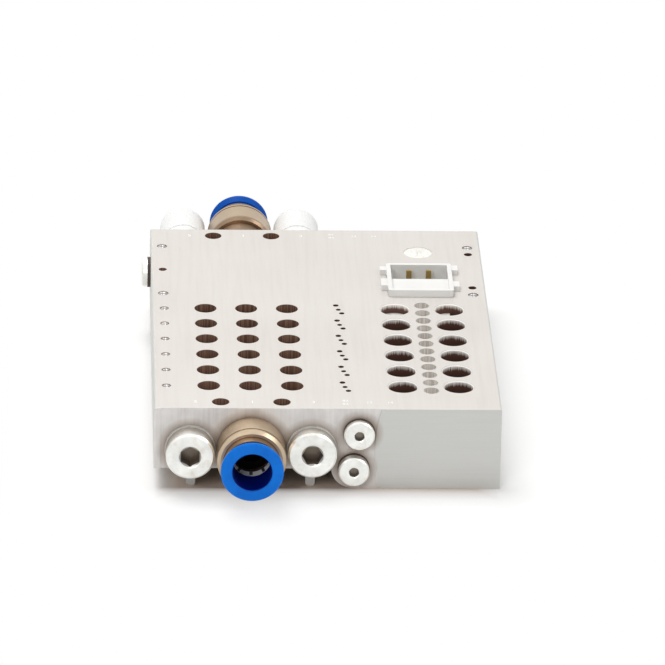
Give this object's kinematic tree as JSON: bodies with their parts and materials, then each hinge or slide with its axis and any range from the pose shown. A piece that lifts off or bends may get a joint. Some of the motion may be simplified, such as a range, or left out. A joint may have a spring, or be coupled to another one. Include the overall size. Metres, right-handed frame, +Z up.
{
  "type": "pneumatic valve island",
  "caption": "Aluminium manifold base of a pneumatic valve island, with push-in supply fittings, exhaust silencers, screw plugs and a shrouded connector.",
  "frame": {"origin": "on the top face, in the middle of the four fixing holes", "axes": "+X right, towards the thick side with the outlet bores; +Y to the rear, along the supply rail; +Z up"},
  "size_m": [0.0955, 0.1734, 0.0253],
  "materials": {
    "aluminium_block": "clear anodised, fine blasted",
    "nickel_brass": "nickel plated, turned",
    "zinc_steel": "zinc plated",
    "seal_rubber": "matt",
    "seal_ring": "satin",
    "release_blue": "smooth moulded",
    "grip_steel": "bright spring steel",
    "silencer_white": "sintered polymer",
    "connector_white": "moulded",
    "contact_brass": "bright",
    "board_green": "laminate",
    "cover_black": "moulded",
    "screw_steel": "zinc plated",
    "potting": "cast resin"
  },
  "bodies": {
    "island": {"bottom_cover": "cover_black", "circuit_board": "board_green", "connector_housing": "connector_white", "contact_left": "contact_brass", "contact_right": "contact_brass", "cover_screws": "screw_steel", "exhaust_plug_left": "zinc_steel", "exhaust_plug_left_seal": "seal_ring", "exhaust_plug_right": "zinc_steel", "exhaust_plug_right_seal": "seal_ring", "front_fitting_body": "nickel_brass", "front_grip_ring": "grip_steel", "front_thread_washer": "seal_ring", "front_tube_seal": "seal_rubber", "manifold_block": "aluminium_block", "nipple_thread_washer": "seal_ring", "outlet_blank_inner": "potting", "outlet_blank_outer": "potting", "pilot_plug_lower": "zinc_steel", "pilot_plug_lower_seal": "seal_rubber", "pilot_plug_side": "zinc_steel", "pilot_plug_side_seal": "seal_rubber", "pilot_plug_upper": "zinc_steel", "pilot_plug_upper_seal": "seal_rubber", "potting_fill": "potting", "rear_fitting_body": "nickel_brass", "rear_grip_ring": "grip_steel", "rear_nipple": "nickel_brass", "rear_thread_washer": "seal_ring", "rear_tube_seal": "seal_rubber", "silencer_left": "silencer_white", "silencer_right": "silencer_white"},
    "front_ring": {"front_release_ring": "release_blue"},
    "rear_ring": {"rear_release_ring": "release_blue"}
  },
  "joints": [
    {"name": "front_ring_press", "type": "slide", "parent": "island", "child": "front_ring", "axis": [0, 1, 0], "range_m": [0, 0.0014], "stiffness_N_per_m": 4000, "springref_m": -0.0005},
    {"name": "rear_ring_press", "type": "slide", "parent": "island", "child": "rear_ring", "axis": [0, -1, 0], "range_m": [0, 0.0014], "stiffness_N_per_m": 4000, "springref_m": -0.0005}
  ]
}
